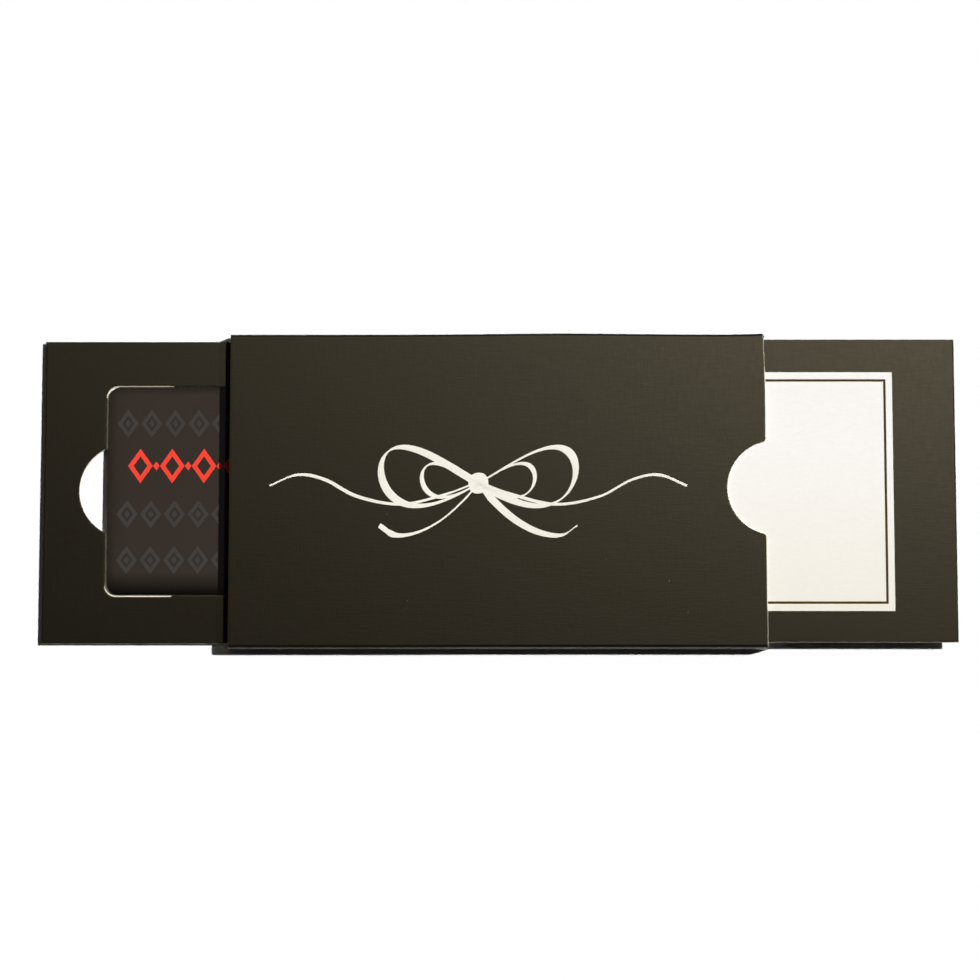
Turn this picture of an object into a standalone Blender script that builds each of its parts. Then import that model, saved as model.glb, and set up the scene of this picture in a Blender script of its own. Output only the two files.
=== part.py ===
"""Double-slide gift card holder made of folded board, in metres with +Z up.

A flat board sleeve is open at both ends. A card slider comes out of its -X end and
a message slider out of its +X end. Inside, a film band is looped round a fixed
divider: the card slider is stuck to the band's lower run and the message slider to
its upper run, so the two always move the same distance in opposite directions.
The origin is the middle of the sleeve's underside, and the sliders are modelled
partly pulled out.
"""
import math

import bmesh
import bpy
from mathutils import Euler, Vector

# Millimetres to metres
MM = 0.001

# Board, film and adhesives (all sizes in millimetres)
BOARD_THICKNESS = 0.35
FILM_THICKNESS = 0.10
GLUE_THICKNESS = 0.05
DOT_THICKNESS = 0.05
WALL_GLUE_THICKNESS = 0.10

# Clearances
LAYER_GAP = 0.05
RUNNING_GAP = 0.35
SIDE_GAP = 0.60
BAND_GAP = 0.30
CARD_HEADROOM = 0.50

# The card, and how it lies in its window
CARD_LENGTH = 85.60
CARD_WIDTH = 54.00
CARD_THICKNESS = 0.76
CARD_CORNER_RADIUS = 3.18
CARD_END_GAP = 0.30
CARD_NEAR_GAP = 0.75
CARD_FAR_GAP = 0.15
CARD_GRIP_GAP = 0.10
WINDOW_CORNER_RADIUS = 3.00
LOOSE_WINDOW_LENGTH = 17.40

# The sliders around the window
END_MARGIN = 16.30
RAIL_WIDTH = 11.85
TONGUE_LENGTH = 34.20
PULL_OUT = 48.70

# Thumb notches: width along the edge and depth into the board
CARD_NOTCH_WIDTH = 21.90
CARD_NOTCH_DEPTH = 6.90
CARD_NOTCH_REACH = 4.00
SLEEVE_NOTCH_WIDTH = 24.40
SLEEVE_NOTCH_DEPTH = 9.95

# The sleeve and what is fixed inside it
SLEEVE_END_OVERHANG = 0.40
SLEEVE_CORNER_RADIUS = 1.20
DIVIDER_INSET = 2.50
DIVIDER_BEND_RADIUS = 0.15
WALL_GLUE_INSET = 8.00
WALL_GLUE_MARGIN = 0.15
BAND_WIDTH = 34.00

# Adhesive places
PAD_LENGTH = 20.00
PAD_WIDTH = 25.00
PAD_TURN_MARGIN = 2.25
GLUE_MARGIN = 2.00
END_GLUE_LENGTH = 16.00
DOT_DIAMETER = 9.00
DOT_SPACING = 45.00

# Facets
BEND_STEPS = 6
CORNER_STEPS = 10
NOTCH_STEPS = 28
DOT_STEPS = 32

# Worked out along X
WINDOW_LENGTH = CARD_LENGTH + 2 * CARD_END_GAP
SLIDER_LENGTH = END_MARGIN + WINDOW_LENGTH + TONGUE_LENGTH
SLEEVE_HALF_LENGTH = SLIDER_LENGTH / 2 + SLEEVE_END_OVERHANG
SLIDER_OUTER_END = SLEEVE_HALF_LENGTH + PULL_OUT
SLIDER_INNER_END = SLIDER_OUTER_END - SLIDER_LENGTH
DIVIDER_HALF_LENGTH = SLEEVE_HALF_LENGTH - DIVIDER_INSET
PAD_FROM_CENTRE = DIVIDER_HALF_LENGTH - PAD_TURN_MARGIN - PAD_LENGTH / 2 - PULL_OUT

# Worked out along Y
WINDOW_WIDTH = CARD_WIDTH + CARD_NEAR_GAP + CARD_FAR_GAP
SLIDER_WIDTH = WINDOW_WIDTH + 2 * RAIL_WIDTH
CARD_SHIFT = (CARD_NEAR_GAP - CARD_FAR_GAP) / 2
DIVIDER_HALF_WIDTH = SLIDER_WIDTH / 2 + SIDE_GAP + BOARD_THICKNESS
SLEEVE_INNER_HALF_WIDTH = DIVIDER_HALF_WIDTH + WALL_GLUE_THICKNESS + 2 * LAYER_GAP
SLEEVE_HALF_WIDTH = SLEEVE_INNER_HALF_WIDTH + BOARD_THICKNESS

# Worked out along Z, from the table up
BLANK_GAP = GLUE_THICKNESS + 2 * LAYER_GAP
BLANK_THICKNESS = 2 * BOARD_THICKNESS + BLANK_GAP
CARD_BLANK_BOTTOM = BOARD_THICKNESS + RUNNING_GAP
CARD_BLANK_TOP = CARD_BLANK_BOTTOM + BLANK_THICKNESS
DOT_BOTTOM = CARD_BLANK_BOTTOM + BOARD_THICKNESS + LAYER_GAP
CARD_BOTTOM = DOT_BOTTOM + DOT_THICKNESS + LAYER_GAP
CARD_TOP = CARD_BOTTOM + CARD_THICKNESS
BAND_BOTTOM = max(CARD_TOP, CARD_BLANK_TOP) + CARD_HEADROOM
DIVIDER_BOTTOM = BAND_BOTTOM + FILM_THICKNESS + BAND_GAP
DIVIDER_TOP = DIVIDER_BOTTOM + BOARD_THICKNESS
BAND_TOP = DIVIDER_TOP + BAND_GAP + FILM_THICKNESS
PAD_THICKNESS = BAND_BOTTOM - CARD_BLANK_TOP - 2 * LAYER_GAP
MESSAGE_BLANK_BOTTOM = BAND_TOP + PAD_THICKNESS + 2 * LAYER_GAP
MESSAGE_BLANK_TOP = MESSAGE_BLANK_BOTTOM + BLANK_THICKNESS
SLEEVE_HEIGHT = MESSAGE_BLANK_TOP + RUNNING_GAP + BOARD_THICKNESS

# Turns of a flat outline out of the XY plane, into the XZ plane and the YZ plane
FACING_UP = (0.0, 0.0, 0.0)
FACING_NEAR = (math.pi / 2, 0.0, 0.0)
FACING_END = (math.pi / 2, 0.0, math.pi / 2)


def clear_scene():
    """Remove the objects of the scene that the script starts in."""
    for thing in list(bpy.data.objects):
        bpy.data.objects.remove(thing, do_unlink=True)


def add_collection(name):
    """Add a collection to the scene."""
    collection = bpy.data.collections.new(name)
    bpy.context.scene.collection.children.link(collection)
    return collection


def add_material(name, colour, roughness, metallic=0.0):
    """Return a Principled material. The colour is linear red, green and blue."""
    material = bpy.data.materials.new(name)
    material.use_nodes = True
    shader = material.node_tree.nodes["Principled BSDF"]
    shader.inputs["Base Color"].default_value = (*colour, 1.0)
    shader.inputs["Roughness"].default_value = roughness
    shader.inputs["Metallic"].default_value = metallic
    return material


def arc(centre_u, centre_v, radius, start, end, steps):
    """Return points on an arc from the start to the end angle, in degrees, ends included."""
    points = []
    for step in range(steps + 1):
        angle = math.radians(start + (end - start) * step / steps)
        points.append((centre_u + radius * math.cos(angle), centre_v + radius * math.sin(angle)))
    return points


def rectangle(low_u, low_v, high_u, high_v, radius=0.0, steps=BEND_STEPS):
    """Return a rectangle's outline, with round corners where a radius is given."""
    if radius <= 0:
        return [(low_u, low_v), (high_u, low_v), (high_u, high_v), (low_u, high_v)]
    points = arc(low_u + radius, low_v + radius, radius, 180, 270, steps)
    points += arc(high_u - radius, low_v + radius, radius, 270, 360, steps)
    points += arc(high_u - radius, high_v - radius, radius, 0, 90, steps)
    points += arc(low_u + radius, high_v - radius, radius, 90, 180, steps)
    return points


def outline_mesh(name, loops, depth):
    """Return the closed mesh of flat loops given a depth, half of it to each side."""
    curve = bpy.data.curves.new(name, "CURVE")
    curve.dimensions = "2D"
    curve.fill_mode = "BOTH"
    curve.extrude = depth / 2 * MM
    for loop in loops:
        spline = curve.splines.new("POLY")
        spline.points.add(len(loop) - 1)
        for point, (u, v) in zip(spline.points, loop):
            point.co = (u * MM, v * MM, 0.0, 1.0)
        spline.use_cyclic_u = True
    carrier = bpy.data.objects.new(name, curve)
    bpy.context.scene.collection.objects.link(carrier)
    bpy.context.view_layer.update()
    evaluated = carrier.evaluated_get(bpy.context.evaluated_depsgraph_get())
    mesh = bpy.data.meshes.new_from_object(evaluated)
    bpy.data.objects.remove(carrier, do_unlink=True)
    bpy.data.curves.remove(curve)
    weld(mesh)
    mesh.name = name
    return mesh


def weld(mesh):
    """Join the caps of a filled curve to its sides and face everything outwards."""
    shape = bmesh.new()
    shape.from_mesh(mesh)
    bmesh.ops.remove_doubles(shape, verts=shape.verts, dist=LAYER_GAP * MM / 50)
    bmesh.ops.recalc_face_normals(shape, faces=shape.faces)
    shape.to_mesh(mesh)
    shape.free()


class Holder:
    """The holder's collections and materials, and the ways its pieces are added."""

    def __init__(self):
        self.parts = add_collection("gift_card_holder")
        self.cutters = add_collection("cutters")
        self.board = add_material("printed_board", (0.030, 0.024, 0.018), 0.55)
        self.white_board = add_material("white_board", (0.78, 0.76, 0.71), 0.80)
        self.film = add_material("clear_film", (0.72, 0.74, 0.76), 0.15)
        self.glue = add_material("glue", (0.80, 0.76, 0.62), 0.45)
        self.foam = add_material("foam_tape", (0.86, 0.86, 0.84), 0.90)
        self.plastic = add_material("card_plastic", (0.045, 0.034, 0.028), 0.35)

    def add_axis(self, name, height):
        """Add the empty that carries one slider, on its slide axis along X."""
        empty = bpy.data.objects.new(name, None)
        empty.location = (0.0, 0.0, height * MM)
        self.parts.objects.link(empty)
        return empty

    def add_piece(self, name, loops, depth, place, material, facing=FACING_UP, carrier=None):
        """Add a solid made from flat loops, centred on its place in the whole holder."""
        piece = bpy.data.objects.new(name, outline_mesh(name, loops, depth))
        piece.data.materials.append(material)
        piece.rotation_euler = Euler(facing)
        piece.location = Vector(place) * MM
        if carrier:
            piece.parent = carrier
            piece.location -= carrier.location
        self.parts.objects.link(piece)
        return piece

    def cut(self, piece, name, loop, depth, place, carrier=None):
        """Cut a flat loop, given a depth along Z, out of a piece."""
        cutter = bpy.data.objects.new(name, outline_mesh(name, [loop], depth))
        cutter.location = Vector(place) * MM
        if carrier:
            cutter.parent = carrier
            cutter.location -= carrier.location
        cutter.hide_render = True
        cutter.display_type = "WIRE"
        self.cutters.objects.link(cutter)
        modifier = piece.modifiers.new(name, "BOOLEAN")
        modifier.operation = "DIFFERENCE"
        modifier.solver = "EXACT"
        modifier.object = cutter


def folded_blank(fold_side):
    """Return the XZ outline of a blank folded over at its outer end, round the origin.

    The outline is centred on the blank. The fold is a half turn whose inside just
    takes the glue between the two panels.
    """
    outer = BLANK_THICKNESS / 2
    inner = BLANK_GAP / 2
    open_end = SLIDER_LENGTH / 2
    bend = open_end - outer
    points = [(open_end, outer)]
    points += arc(-bend, 0, outer, 90, 270, 2 * BEND_STEPS)
    points += [(open_end, -outer), (open_end, -inner)]
    points += arc(-bend, 0, inner, 270, 90, 2 * BEND_STEPS)
    points.append((open_end, inner))
    return [(-fold_side * u, v) for u, v in points]


def window_outline():
    """Return the card window, with its outer left corner region loose round the card.

    Its first stretch is wider than the card on both sides. From there on the board
    steps in to grip the card's two long edges. The loop's origin is the middle of
    the window's left edge.
    """
    half = WINDOW_WIDTH / 2
    near = CARD_SHIFT - CARD_WIDTH / 2 - CARD_GRIP_GAP
    far = CARD_SHIFT + CARD_WIDTH / 2 + CARD_GRIP_GAP
    radius = WINDOW_CORNER_RADIUS
    points = arc(radius, radius - half, radius, 180, 270, CORNER_STEPS)
    points += [(LOOSE_WINDOW_LENGTH, -half), (LOOSE_WINDOW_LENGTH, near)]
    points += arc(WINDOW_LENGTH - radius, near + radius, radius, 270, 360, CORNER_STEPS)
    points += arc(WINDOW_LENGTH - radius, far - radius, radius, 0, 90, CORNER_STEPS)
    points += [(LOOSE_WINDOW_LENGTH, far), (LOOSE_WINDOW_LENGTH, half)]
    points += arc(radius, half - radius, radius, 90, 180, CORNER_STEPS)
    return points


def notch_outline(width, depth, reach):
    """Return a thumb notch cut to the left of an edge that stands at u = 0.

    It is the part of a circle that is as wide as the notch at the edge and as deep
    as the notch to its left, closed by a straight block that reaches past the edge.
    """
    radius = (width ** 2 / 4 + depth ** 2) / (2 * depth)
    middle = radius - depth
    spread = math.degrees(math.atan2(width / 2, -middle))
    points = arc(middle, 0, radius, spread, 360 - spread, NOTCH_STEPS)
    return points + [(reach, -width / 2), (reach, width / 2)]


def add_sleeve(holder):
    """Add the board tube, with the thumb notch in its upper panel's right edge."""
    wall = BOARD_THICKNESS
    half_width = SLEEVE_HALF_WIDTH
    half_height = SLEEVE_HEIGHT / 2
    outside = rectangle(-half_width, -half_height, half_width, half_height, SLEEVE_CORNER_RADIUS)
    inside = rectangle(
        wall - half_width, wall - half_height, half_width - wall, half_height - wall,
        SLEEVE_CORNER_RADIUS - wall)
    sleeve = holder.add_piece(
        "sleeve", [outside, inside], 2 * SLEEVE_HALF_LENGTH, (0, 0, half_height),
        holder.board, FACING_END)
    notch = notch_outline(SLEEVE_NOTCH_WIDTH, SLEEVE_NOTCH_DEPTH, SLEEVE_END_OVERHANG)
    holder.cut(
        sleeve, "sleeve_notch", notch, half_height * 2,
        (SLEEVE_HALF_LENGTH, 0, SLEEVE_HEIGHT))


def add_divider(holder):
    """Add the divider: a board with its two long edges folded down along the walls."""
    wall = BOARD_THICKNESS
    side = DIVIDER_HALF_WIDTH
    foot = SLEEVE_CORNER_RADIUS
    bend = DIVIDER_BEND_RADIUS
    points = [(-side, foot)]
    points.append((wall - side, foot))
    points += arc(wall + bend - side, DIVIDER_BOTTOM - bend, bend, 180, 90, BEND_STEPS)
    points += arc(side - wall - bend, DIVIDER_BOTTOM - bend, bend, 90, 0, BEND_STEPS)
    points.append((side - wall, foot))
    points.append((side, foot))
    points += arc(side - wall - bend, DIVIDER_BOTTOM - bend, wall + bend, 0, 90, BEND_STEPS)
    points += arc(wall + bend - side, DIVIDER_BOTTOM - bend, wall + bend, 90, 180, BEND_STEPS)
    holder.add_piece(
        "divider", [points], 2 * DIVIDER_HALF_LENGTH, (0, 0, 0), holder.white_board, FACING_END)


def add_divider_glue(holder):
    """Add the two adhesive strips that hold the divider's folded edges to the walls."""
    low = SLEEVE_CORNER_RADIUS + WALL_GLUE_MARGIN
    high = DIVIDER_BOTTOM - DIVIDER_BEND_RADIUS - WALL_GLUE_MARGIN
    offset = DIVIDER_HALF_WIDTH + LAYER_GAP + WALL_GLUE_THICKNESS / 2
    length = 2 * (DIVIDER_HALF_LENGTH - WALL_GLUE_INSET)
    strip = rectangle(-length / 2, low, length / 2, high)
    for name, side in (("near", -1), ("far", 1)):
        holder.add_piece(
            "divider_glue_" + name, [strip], WALL_GLUE_THICKNESS, (0, side * offset, 0),
            holder.glue, FACING_NEAR)


def add_band(holder):
    """Add the film band, a flat loop round the divider's two ends."""
    half_length = DIVIDER_HALF_LENGTH + BAND_GAP + FILM_THICKNESS
    half_height = (BAND_TOP - BAND_BOTTOM) / 2
    film = FILM_THICKNESS
    outside = rectangle(-half_length, -half_height, half_length, half_height, half_height)
    inside = rectangle(
        film - half_length, film - half_height, half_length - film, half_height - film,
        half_height - film)
    holder.add_piece(
        "drive_band", [outside, inside], BAND_WIDTH, (0, 0, BAND_BOTTOM + half_height),
        holder.film, FACING_NEAR)


def add_blank(holder, name, side, bottom, carrier):
    """Add a slider's folded blank. The side is -1 for the left end and 1 for the right."""
    centre = side * (SLIDER_OUTER_END - SLIDER_LENGTH / 2)
    return holder.add_piece(
        name, [folded_blank(side)], SLIDER_WIDTH, (centre, 0, bottom + BLANK_THICKNESS / 2),
        holder.board, FACING_NEAR, carrier)


def add_blank_glue(holder, name, side, bottom, carrier):
    """Add the three adhesive strips between a blank's panels: two rails and the inner end."""
    height = bottom + BOARD_THICKNESS + LAYER_GAP + GLUE_THICKNESS / 2
    rail_width = RAIL_WIDTH - 2 * GLUE_MARGIN
    rail_length = SLIDER_LENGTH - BLANK_THICKNESS - 3 * GLUE_MARGIN - END_GLUE_LENGTH
    rail = rectangle(-rail_length / 2, -rail_width / 2, rail_length / 2, rail_width / 2)
    rail_x = SLIDER_INNER_END + 2 * GLUE_MARGIN + END_GLUE_LENGTH + rail_length / 2
    rail_y = (SLIDER_WIDTH - RAIL_WIDTH) / 2
    for place, direction in (("near", -1), ("far", 1)):
        holder.add_piece(
            name + "_glue_" + place, [rail], GLUE_THICKNESS,
            (side * rail_x, direction * rail_y, height), holder.glue, FACING_UP, carrier)
    end_width = SLIDER_WIDTH / 2 - GLUE_MARGIN
    end = rectangle(-END_GLUE_LENGTH / 2, -end_width, END_GLUE_LENGTH / 2, end_width)
    end_x = SLIDER_INNER_END + GLUE_MARGIN + END_GLUE_LENGTH / 2
    holder.add_piece(
        name + "_glue_inner", [end], GLUE_THICKNESS, (side * end_x, 0, height),
        holder.glue, FACING_UP, carrier)


def add_pad(holder, name, side, bottom, carrier):
    """Add the foam tape pad that sticks a slider's inner end to the band."""
    pad = rectangle(-PAD_LENGTH / 2, -PAD_WIDTH / 2, PAD_LENGTH / 2, PAD_WIDTH / 2)
    holder.add_piece(
        name, [pad], PAD_THICKNESS, (-side * PAD_FROM_CENTRE, 0, bottom + PAD_THICKNESS / 2),
        holder.foam, FACING_UP, carrier)


def cut_card_slider(holder, blank, carrier):
    """Cut the card window through the upper panel and the thumb notch through both."""
    window_left = END_MARGIN - SLIDER_OUTER_END
    upper_bottom = CARD_BLANK_TOP - BOARD_THICKNESS
    window_depth = BOARD_THICKNESS + BLANK_GAP
    window_middle = upper_bottom - BLANK_GAP / 2 + window_depth / 2
    holder.cut(
        blank, "card_window", window_outline(), window_depth,
        (window_left, 0, window_middle), carrier)
    notch = notch_outline(CARD_NOTCH_WIDTH, CARD_NOTCH_DEPTH, CARD_NOTCH_REACH)
    holder.cut(
        blank, "card_notch", notch, 2 * BLANK_THICKNESS,
        (window_left, 0, CARD_BLANK_BOTTOM + BLANK_THICKNESS / 2), carrier)


def add_card(holder, carrier):
    """Add the gift card in its window, and the two dots of glue under it."""
    half_length = CARD_LENGTH / 2
    half_width = CARD_WIDTH / 2
    outline = rectangle(
        -half_length, -half_width, half_length, half_width, CARD_CORNER_RADIUS, CORNER_STEPS)
    centre = END_MARGIN + CARD_END_GAP + half_length - SLIDER_OUTER_END
    holder.add_piece(
        "gift_card", [outline], CARD_THICKNESS, (centre, CARD_SHIFT, CARD_BOTTOM + CARD_THICKNESS / 2),
        holder.plastic, FACING_UP, carrier)
    dot = arc(0, 0, DOT_DIAMETER / 2, 0, 360 - 360 / DOT_STEPS, DOT_STEPS - 1)
    for name, direction in (("outer", -1), ("inner", 1)):
        holder.add_piece(
            "card_glue_dot_" + name, [dot], DOT_THICKNESS,
            (centre + direction * DOT_SPACING / 2, CARD_SHIFT, DOT_BOTTOM + DOT_THICKNESS / 2),
            holder.glue, FACING_UP, carrier)


def add_card_slider(holder):
    """Add the left slider, which carries the card, on the band's lower run."""
    carrier = holder.add_axis("card_slider_axis", CARD_BLANK_BOTTOM + BLANK_THICKNESS / 2)
    blank = add_blank(holder, "card_slider_blank", -1, CARD_BLANK_BOTTOM, carrier)
    cut_card_slider(holder, blank, carrier)
    add_blank_glue(holder, "card_slider", -1, CARD_BLANK_BOTTOM, carrier)
    add_card(holder, carrier)
    add_pad(holder, "card_slider_pad", -1, CARD_BLANK_TOP + LAYER_GAP, carrier)


def add_message_slider(holder):
    """Add the right slider, which carries the writing panel, on the band's upper run."""
    carrier = holder.add_axis("message_slider_axis", MESSAGE_BLANK_BOTTOM + BLANK_THICKNESS / 2)
    add_blank(holder, "message_slider_blank", 1, MESSAGE_BLANK_BOTTOM, carrier)
    add_blank_glue(holder, "message_slider", 1, MESSAGE_BLANK_BOTTOM, carrier)
    add_pad(holder, "message_slider_pad", 1, BAND_TOP + LAYER_GAP, carrier)


def build():
    """Model the whole holder."""
    clear_scene()
    holder = Holder()
    add_sleeve(holder)
    add_divider(holder)
    add_divider_glue(holder)
    add_band(holder)
    add_card_slider(holder)
    add_message_slider(holder)


build()
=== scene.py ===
"""Looks of the double-slide gift card holder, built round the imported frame.

The holder lies on a pale table, seen from almost straight above. Every length here is
in millimetres until it goes into a mesh. The CAD's own solids give the places, and
the boards, the card, the ornament and the printed marks are made here.
"""
import math

import bmesh
import bpy
import numpy as np
from mathutils import Matrix, Vector


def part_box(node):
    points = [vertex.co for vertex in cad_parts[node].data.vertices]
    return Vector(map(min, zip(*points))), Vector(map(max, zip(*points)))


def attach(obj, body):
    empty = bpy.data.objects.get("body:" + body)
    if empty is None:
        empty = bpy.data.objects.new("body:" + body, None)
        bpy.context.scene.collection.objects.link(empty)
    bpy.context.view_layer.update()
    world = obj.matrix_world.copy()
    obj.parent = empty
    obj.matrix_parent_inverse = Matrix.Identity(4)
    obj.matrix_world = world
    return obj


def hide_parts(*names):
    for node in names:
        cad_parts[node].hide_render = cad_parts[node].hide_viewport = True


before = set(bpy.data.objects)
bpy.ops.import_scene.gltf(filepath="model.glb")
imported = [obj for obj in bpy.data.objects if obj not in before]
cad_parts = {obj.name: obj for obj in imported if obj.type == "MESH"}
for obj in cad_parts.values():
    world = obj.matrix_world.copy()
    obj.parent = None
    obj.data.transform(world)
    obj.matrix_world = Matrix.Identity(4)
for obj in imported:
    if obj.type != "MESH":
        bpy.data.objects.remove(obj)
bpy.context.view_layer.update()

# Millimetres to metres, and how near two points are the same point
MM = 0.001
SAME_POINT = 1e-4


def extent(node):
    """Return a CAD node's lowest and highest corners in millimetres."""
    low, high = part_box(node)
    return np.array(low) / MM, np.array(high) / MM


# Places read from the frame
SLEEVE_LOW, SLEEVE_HIGH = extent("sleeve")
CARD_BLANK_LOW, CARD_BLANK_HIGH = extent("card_slider_blank")
MESSAGE_LOW, MESSAGE_HIGH = extent("message_slider_blank")
CARD_LOW, CARD_HIGH = extent("gift_card")

# The board's thickness, and how deep its print sinks at a cut edge
BOARD = 0.35
CUT_SINK = 0.03

# How far the print draws back from each cut edge, so that the core shows beside it. A
# negative one stands out past the core.
CUT_LEAN = 0.11
MESSAGE_LEAN = 0.05
SLIDER_SIDE_LEAN = 0.05
WINDOW_FAR_LEAN = 0.25
WINDOW_END_LEAN = -0.04
GRIP_LEAN = 0.03
SLEEVE_LEFT_LEAN = 0.02
SLEEVE_RIGHT_LEAN = 0.22
SLEEVE_STRIP_LEAN = 0.10
NOTCH_LEAN = 0.10

# How much of the print is rubbed off at cut edges and folds, where 1 is most, how far
# that spreads at a slider's fold as a share of half its turn, and the power it fades by
SLEEVE_LEFT_RUBBED = 0.40
WINDOW_RUBBED = 0.30
CARD_SLIDER_RUBBED = 0.45
SLIDER_FOLD_RUBBED = 0.60
SLIDER_FOLD_SPREAD = 1.4
WEAR_FADE = 2.3

# The sleeve's folds: their radius, and for each its first stop on the path, where round
# it the wear is strongest and how far that spreads, both as shares of the fold, and how
# much is rubbed off. The last, the near top fold, is rubbed to a pale line that is partly
# wear and partly a painted highlight along the fold.
SLEEVE_FOLD_RADIUS = 0.68
SLEEVE_FOLDS = (
    (1, 1.0, 0.2, 0.5), (3, 0.15, 0.4, 0.5), (5, 0.85, 0.4, 0.5), (7, 0.10, 0.4, 0.42))

# How far the sleeve's left edge stands out past the CAD's, how far its front sags in the
# middle, and the share of that sag at the front's ends
SLEEVE_LEFT_PAST = 0.50
FRONT_SAG = 0.12
SAG_AT_ENDS = 0.55

# How far the front's far edge, near edge and far right corner draw in, and where
FAR_DRAW_IN = 0.34
FAR_DRAW_IN_SLOPE = 0.0007
FAR_STRAIGHT_X = 17
FAR_STRAIGHT_SPREAD = 24
FAR_END_X = 56
FAR_END_SHARE = 0.9
NEAR_DRAW_IN = 0.12
NEAR_DRAW_IN_X = -14
NEAR_DRAW_IN_SPREAD = 5
CORNER_DRAW_IN = 0.55
CORNER_X = 55
CORNER_Y = 27

# The heights between which the walls take up that draw-in and the front its sag, and the
# distances from the middle line between which the long edges take up theirs
WALL_RISE = (3.4, 5.6)
SAG_RISE = (5.0, 5.6)
EDGE_BAND = (30, 38)

# Ink and the height that the sleeve's print leaves for it under the CAD's top
INK_THICKNESS = 0.03
SLEEVE_PRINT_DROP = 0.04

# Thumb notches, within 0.4 mm of the CAD's width and depth
SLEEVE_NOTCH_WIDTH = 24.05
SLEEVE_NOTCH_DEPTH = 10.05
SLEEVE_NOTCH_ASIDE = 0.50
NOTCH_CORNER_RADIUS = 1.00
CARD_NOTCH_WIDTH = 21.70
CARD_NOTCH_DEPTH = 6.70
CARD_NOTCH_ASIDE = 0.30
CARD_NOTCH_REACH = 4.00

# The corners of a standard card
CARD_CORNER_RADIUS = 3.18

# The card window: its margin from the slider's outer end, its edges, and the edges that
# grip the card's sides past the length where the window is loose
END_MARGIN = 16.10
WINDOW_LENGTH = 86.20
WINDOW_NEAR = -27.15
WINDOW_FAR = 27.45
WINDOW_CORNER_RADIUS = 3.00
LOOSE_WINDOW_LENGTH = 17.40
GRIP_NEAR = -26.80
GRIP_FAR = 27.40

# The writing panel, and the line printed round it
PANEL_NEAR = -31.26
PANEL_FAR = 30.68
BORDER_INSET = 1.84
BORDER_END_INSET = 1.67
BORDER_WIDTH = 0.62

# The linen emboss: its thread's width, run and depth, and the turn of its sheen in degrees.
# The real thread's width isn't known. This one is a guess, drawn about as coarse as it
# needs to be to show.
LINEN_THREAD = 0.34
LINEN_RUN = 3.2
LINEN_DEPTH = 0.019
EMBOSS_TURN = -12

# How far apart the grids' lines are, and how close they stand beside cut edges and
# folds, so that the shading there stays narrow. The sleeve's ends are in shares of a row.
SLEEVE_STEP = 1.6
SLEEVE_FOLD_ROW = 0.15
SLEEVE_END_SHARES = np.array([0, 0.0025, 0.004, 0.02])
SLIDER_STEP = 2.2
SLIDER_UNDERSIDE_STEP = 2.6
SLIDER_EDGE_ROW = 0.35
SLIDER_FOLD_ROW = 0.20
SLIDER_SIDE_ROWS = (0.30, 0.50)
FOLD_STEPS = 12


def outward(points, faces):
    """Turn all the faces of a closed mesh round if its volume comes out negative."""
    a, b, c, d = (points[faces[:, corner]] for corner in range(4))
    volume = (np.cross(a, b) * c).sum() + (np.cross(a, c) * d).sum()
    return faces if volume > 0 else faces[:, ::-1]


def mesh_piece(
        name, points, faces, body, materials, indices=None, edge=None, crease=35,
        weld=False):
    """Make one closed piece of the object from points in millimetres and four-sided faces.

    The indices say which of the materials each face takes. The edge is a value at each
    point that the board's material reads for wear. Faces that meet at more than the
    crease angle, in degrees, keep a sharp edge. A weld merges the points of a pole.
    """
    points = np.asarray(points)
    mesh = bpy.data.meshes.new(name)
    mesh.from_pydata((points * MM).tolist(), [], outward(points, faces).tolist())
    for material in materials:
        mesh.materials.append(material)
    if indices is not None:
        mesh.polygons.foreach_set("material_index", np.asarray(indices, dtype=np.int32))
    if edge is not None:
        attribute = mesh.attributes.new("edge", "FLOAT", "POINT")
        attribute.data.foreach_set("value", np.asarray(edge, dtype=np.float32))
    if weld:
        shape = bmesh.new()
        shape.from_mesh(mesh)
        bmesh.ops.remove_doubles(shape, verts=shape.verts, dist=SAME_POINT * MM)
        bmesh.ops.recalc_face_normals(shape, faces=shape.faces)
        shape.to_mesh(mesh)
        shape.free()
    mesh.polygons.foreach_set("use_smooth", np.ones(len(mesh.polygons), dtype=bool))
    mesh.set_sharp_from_angle(angle=math.radians(crease))
    mesh.update()
    piece = bpy.data.objects.new(name, mesh)
    bpy.context.scene.collection.objects.link(piece)
    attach(piece, body)
    return piece


def cells(rows, columns, closed_rows=False, closed_columns=False):
    """Return the four-sided faces of a grid of points, as indices into its points."""
    index = np.arange(rows * columns).reshape(rows, columns)
    if closed_rows:
        index = np.vstack([index, index[:1]])
    if closed_columns:
        index = np.hstack([index, index[:, :1]])
    corners = [index[:-1, :-1], index[1:, :-1], index[1:, 1:], index[:-1, 1:]]
    return np.stack(corners, axis=-1).reshape(-1, 4)


def rising(value, low, high):
    """Return 0 up to the low value, 1 from the high one on, and the share between them."""
    return np.clip((value - low) / (high - low), 0, 1)


def facing_up(flat, faces):
    """Turn over the faces that run clockwise on the flat, by the sign of their area."""
    x = flat[faces][:, :, 0]
    y = flat[faces][:, :, 1]
    area = (x * np.roll(y, -1, axis=1) - y * np.roll(x, -1, axis=1)).sum(axis=1)
    return np.where((area < 0)[:, None], faces[:, ::-1], faces)


def joined(parts):
    """Join flat grids into one and merge the points that they share."""
    starts = np.cumsum([0] + [len(flat) for flat, faces in parts[:-1]])
    flat = np.vstack([flat for flat, faces in parts])
    faces = np.vstack([faces + start for start, (points, faces) in zip(starts, parts)])
    keys, first, back = np.unique(
        np.round(flat / SAME_POINT).astype(np.int64), axis=0, return_index=True,
        return_inverse=True)
    return flat[first], back.ravel()[faces]


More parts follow.
